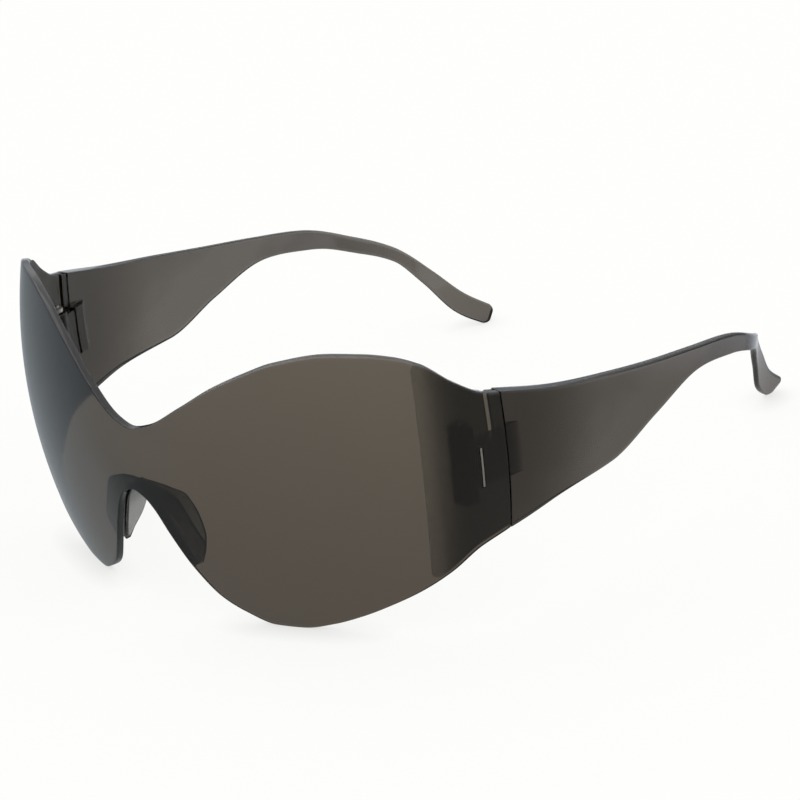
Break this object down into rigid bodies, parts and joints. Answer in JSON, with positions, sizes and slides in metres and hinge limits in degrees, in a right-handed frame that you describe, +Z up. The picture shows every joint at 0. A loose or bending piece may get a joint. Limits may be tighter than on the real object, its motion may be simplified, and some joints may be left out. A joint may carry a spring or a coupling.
{
  "type": "wraparound sunglasses",
  "caption": "Rimless wraparound sunglasses: a smoke-tinted butterfly shield lens, moulded nose saddle and wide folding temples.",
  "frame": {"origin": "centre of the bounding box at the level of the surface on which the lens and both temple tips rest", "axes": "+X to the wearer's left as seen from the front, the lens faces -Y, the temples run to +Y, +Z up"},
  "size_m": [0.1434, 0.1862, 0.0685],
  "materials": {
    "smoke_lens": "polished smoke-tinted clear plastic",
    "dark_smoke": "smooth dark translucent moulding",
    "smoke_temple": "polished smoke-tinted clear plastic",
    "steel": "small plain steel hinge parts"
  },
  "bodies": {
    "front": {"shield_lens": "smoke_lens", "nose_saddle": "dark_smoke", "left_end_piece": "dark_smoke", "right_end_piece": "dark_smoke", "left_hinge_tab": "steel", "right_hinge_tab": "steel", "left_hinge_screw": "steel", "right_hinge_screw": "steel"},
    "left_temple": {"left_temple": "smoke_temple"},
    "right_temple": {"right_temple": "smoke_temple"}
  },
  "joints": [
    {"name": "right_temple_fold", "type": "hinge", "parent": "front", "child": "right_temple", "pos_m": [0.06202, -0.05314, 0.03911], "axis": [0, -0.0616, 0.9981], "range_deg": [0, 89]},
    {"name": "left_temple_fold", "type": "hinge", "parent": "front", "child": "left_temple", "pos_m": [-0.06202, -0.05314, 0.03911], "axis": [0, 0.0616, -0.9981], "range_deg": [0, 80]}
  ]
}
